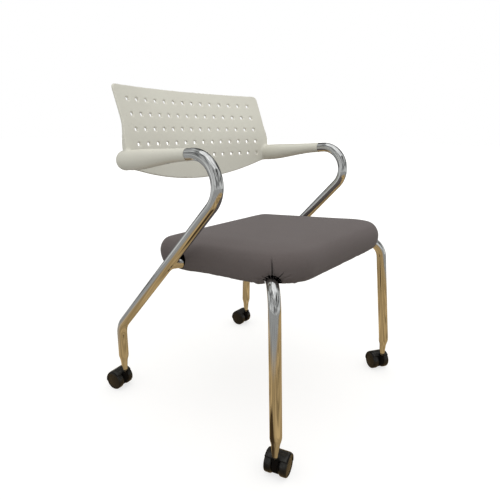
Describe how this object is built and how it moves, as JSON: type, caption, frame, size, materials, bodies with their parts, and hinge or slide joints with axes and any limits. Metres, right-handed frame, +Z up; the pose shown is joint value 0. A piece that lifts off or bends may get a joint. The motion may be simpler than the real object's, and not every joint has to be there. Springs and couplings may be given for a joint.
{
  "type": "conference armchair",
  "caption": "Conference armchair with a padded seat, a perforated moulded back whose arm sleeves slip onto a bent chromed tube frame, and legs on freely swivelling hooded castors.",
  "frame": {"origin": "on the floor, under the middle of the chair's bounding box with its castors turned as in the picture; the chair's own centre plane lies at x = -0.0135", "axes": "+Z up, the sitter faces -Y, the sitter's left hand is at +X"},
  "size_m": [0.6077, 0.575, 0.7745],
  "materials": {
    "chrome_tube": "polished",
    "white_plastic": "satin",
    "seat_fabric": "matte",
    "seat_foam": "matte",
    "plywood": "matte",
    "zinc_steel": "satin",
    "black_plastic": "satin"
  },
  "bodies": {
    "frame": {"side_tube_left": "chrome_tube", "side_tube_right": "chrome_tube", "front_leg_left": "chrome_tube", "front_leg_right": "chrome_tube", "cross_rail_front": "chrome_tube", "cross_rail_rear": "chrome_tube", "backrest": "white_plastic", "seat_cover": "seat_fabric", "seat_foam": "seat_foam", "seat_pan": "plywood", "seat_bracket_front_left": "zinc_steel", "seat_bracket_front_right": "zinc_steel", "seat_bracket_rear_left": "zinc_steel", "seat_bracket_rear_right": "zinc_steel", "seat_screw_front_left": "zinc_steel", "seat_screw_front_right": "zinc_steel", "seat_screw_rear_left": "zinc_steel", "seat_screw_rear_right": "zinc_steel", "tee_nut_front_left": "zinc_steel", "tee_nut_front_right": "zinc_steel", "tee_nut_rear_left": "zinc_steel", "tee_nut_rear_right": "zinc_steel", "arm_screw_left": "zinc_steel", "arm_screw_right": "zinc_steel", "castor_front_left_socket": "black_plastic", "castor_front_right_socket": "black_plastic", "castor_rear_left_socket": "black_plastic", "castor_rear_right_socket": "black_plastic"},
    "castor_front_left": {"castor_front_left_stem": "zinc_steel", "castor_front_left_hood": "black_plastic", "castor_front_left_axle": "zinc_steel"},
    "castor_front_right": {"castor_front_right_stem": "zinc_steel", "castor_front_right_hood": "black_plastic", "castor_front_right_axle": "zinc_steel"},
    "castor_rear_left": {"castor_rear_left_stem": "zinc_steel", "castor_rear_left_hood": "black_plastic", "castor_rear_left_axle": "zinc_steel"},
    "castor_rear_right": {"castor_rear_right_stem": "zinc_steel", "castor_rear_right_hood": "black_plastic", "castor_rear_right_axle": "zinc_steel"},
    "wheel_front_left_1": {"castor_front_left_wheel_1": "black_plastic"},
    "wheel_front_left_2": {"castor_front_left_wheel_2": "black_plastic"},
    "wheel_front_right_1": {"castor_front_right_wheel_1": "black_plastic"},
    "wheel_front_right_2": {"castor_front_right_wheel_2": "black_plastic"},
    "wheel_rear_left_1": {"castor_rear_left_wheel_1": "black_plastic"},
    "wheel_rear_left_2": {"castor_rear_left_wheel_2": "black_plastic"},
    "wheel_rear_right_1": {"castor_rear_right_wheel_1": "black_plastic"},
    "wheel_rear_right_2": {"castor_rear_right_wheel_2": "black_plastic"}
  },
  "joints": [
    {"name": "swivel_front_left", "type": "hinge", "parent": "frame", "child": "castor_front_left", "pos_m": [0.25628, -0.26059, 0.0547], "axis": [0, 0, 1], "continuous": true},
    {"name": "swivel_front_right", "type": "hinge", "parent": "frame", "child": "castor_front_right", "pos_m": [-0.28328, -0.26059, 0.0547], "axis": [0, 0, 1], "continuous": true},
    {"name": "swivel_rear_left", "type": "hinge", "parent": "frame", "child": "castor_rear_left", "pos_m": [0.2455, 0.24, 0.0547], "axis": [0, 0, 1], "continuous": true},
    {"name": "swivel_rear_right", "type": "hinge", "parent": "frame", "child": "castor_rear_right", "pos_m": [-0.2725, 0.24, 0.0547], "axis": [0, 0, 1], "continuous": true},
    {"name": "roll_front_left_1", "type": "hinge", "parent": "castor_front_left", "child": "wheel_front_left_1", "pos_m": [0.26746, -0.24401, 0.024], "axis": [0.829, -0.5592, 0], "continuous": true},
    {"name": "roll_front_left_2", "type": "hinge", "parent": "castor_front_left", "child": "wheel_front_left_2", "pos_m": [0.26746, -0.24401, 0.024], "axis": [0.829, -0.5592, 0], "continuous": true},
    {"name": "roll_front_right_1", "type": "hinge", "parent": "castor_front_right", "child": "wheel_front_right_1", "pos_m": [-0.26387, -0.25575, 0.024], "axis": [0.2419, -0.9703, 0], "continuous": true},
    {"name": "roll_front_right_2", "type": "hinge", "parent": "castor_front_right", "child": "wheel_front_right_2", "pos_m": [-0.26387, -0.25575, 0.024], "axis": [0.2419, -0.9703, 0], "continuous": true},
    {"name": "roll_rear_left_1", "type": "hinge", "parent": "castor_rear_left", "child": "wheel_rear_left_1", "pos_m": [0.2448, 0.25999, 0.024], "axis": [0.9994, 0.0349, 0], "continuous": true},
    {"name": "roll_rear_left_2", "type": "hinge", "parent": "castor_rear_left", "child": "wheel_rear_left_2", "pos_m": [0.2448, 0.25999, 0.024], "axis": [0.9994, 0.0349, 0], "continuous": true},
    {"name": "roll_rear_right_1", "type": "hinge", "parent": "castor_rear_right", "child": "wheel_rear_right_1", "pos_m": [-0.2758, 0.25973, 0.024], "axis": [0.9863, 0.165, 0], "continuous": true},
    {"name": "roll_rear_right_2", "type": "hinge", "parent": "castor_rear_right", "child": "wheel_rear_right_2", "pos_m": [-0.2758, 0.25973, 0.024], "axis": [0.9863, 0.165, 0], "continuous": true}
  ]
}
